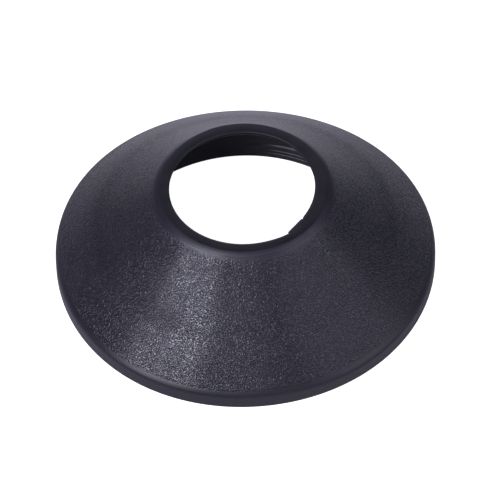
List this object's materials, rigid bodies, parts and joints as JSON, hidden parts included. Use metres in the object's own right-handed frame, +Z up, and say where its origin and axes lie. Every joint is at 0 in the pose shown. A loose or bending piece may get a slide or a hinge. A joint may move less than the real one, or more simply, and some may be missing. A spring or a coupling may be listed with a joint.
{
  "type": "toilet flange",
  "caption": "Round flared floor flange for a toilet waste pipe: textured cone with a smooth skirt, a soft ring round the pipe hole, an inner collar and a floor gasket.",
  "frame": {"origin": "on the floor plane, on the axis of the pipe hole", "axes": "+Z up the pipe, from the floor to the pipe hole; the moulding stub on the hole's edge lies between +X and -Y"},
  "size_m": [0.11, 0.11, 0.0314],
  "materials": {
    "cover_plastic": "fine moulded grain on the cone, smooth satin skirt",
    "seal_rubber": "smooth satin",
    "collar_plastic": "smooth and glossy",
    "gasket_foam": "dull closed-cell foam"
  },
  "bodies": {
    "root": {"flared_cover": "cover_plastic", "pipe_seal": "seal_rubber", "inner_collar": "collar_plastic", "floor_gasket": "gasket_foam"}
  },
  "joints": []
}
